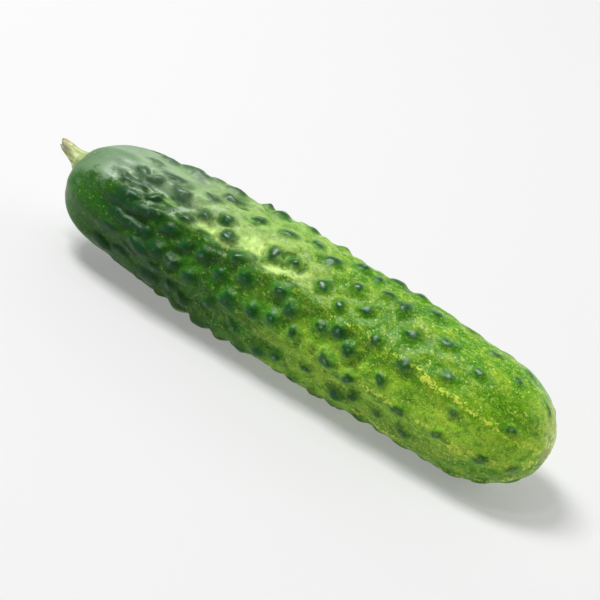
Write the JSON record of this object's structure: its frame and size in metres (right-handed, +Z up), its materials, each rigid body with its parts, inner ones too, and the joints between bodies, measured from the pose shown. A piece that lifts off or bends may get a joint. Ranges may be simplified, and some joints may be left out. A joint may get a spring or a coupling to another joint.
{
  "type": "cucumber",
  "caption": "Short pickling cucumber lying on its belly: blunt, slightly bowed, covered in warts that thin out to the blossom end, with a stub of stalk.",
  "frame": {"origin": "middle of the small flat spot on the belly that the fruit rests on", "axes": "+X lengthwise from the stem end to the blossom end, +Z up, away from what it rests on"},
  "size_m": [0.1321, 0.0307, 0.029],
  "materials": {
    "skin": "satin waxy vegetable skin, darker green at the stem end and on the warts",
    "stalk_fibre": "dull fibrous plant stalk, dry and grey-brown at its torn tip"
  },
  "bodies": {
    "root": {"fruit": "skin", "stalk": "stalk_fibre"}
  },
  "joints": []
}
